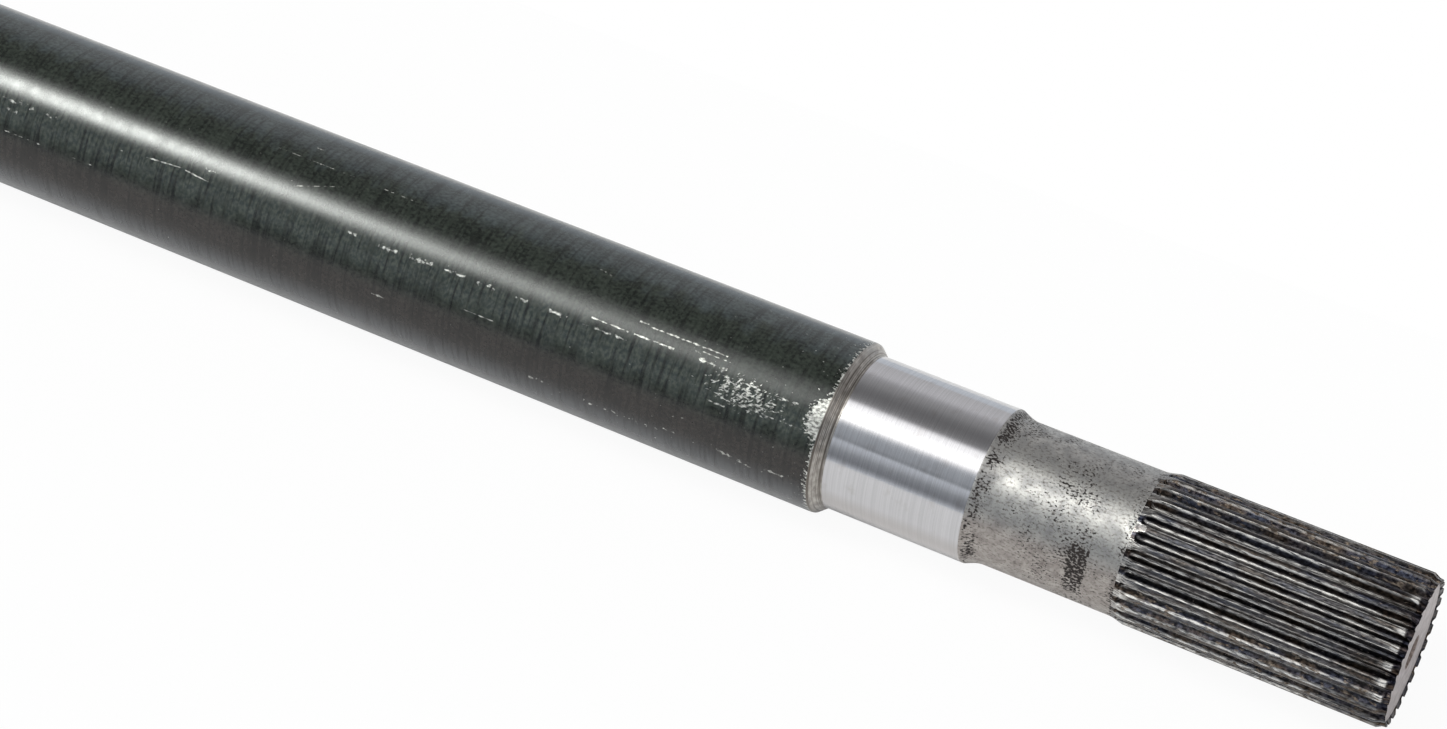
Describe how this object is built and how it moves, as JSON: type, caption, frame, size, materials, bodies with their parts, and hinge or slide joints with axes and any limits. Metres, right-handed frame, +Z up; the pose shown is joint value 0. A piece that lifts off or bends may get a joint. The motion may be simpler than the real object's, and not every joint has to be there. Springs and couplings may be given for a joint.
{
  "type": "axle shaft",
  "caption": "Turned steel axle shaft: a black bar steps down through a ground seal journal and a waisted neck to an involute spline that carries the drive.",
  "frame": {"origin": "middle of the ground seal journal, on the shaft's axis", "axes": "+X along the axis towards the splined end, +Z up"},
  "size_m": [0.4199, 0.0342, 0.0342],
  "materials": {
    "forged_steel": "black mill scale on the bar, bright ground journal, lightly rusted neck, dark worn spline"
  },
  "bodies": {
    "root": {"axle_shaft": "forged_steel"}
  },
  "joints": []
}
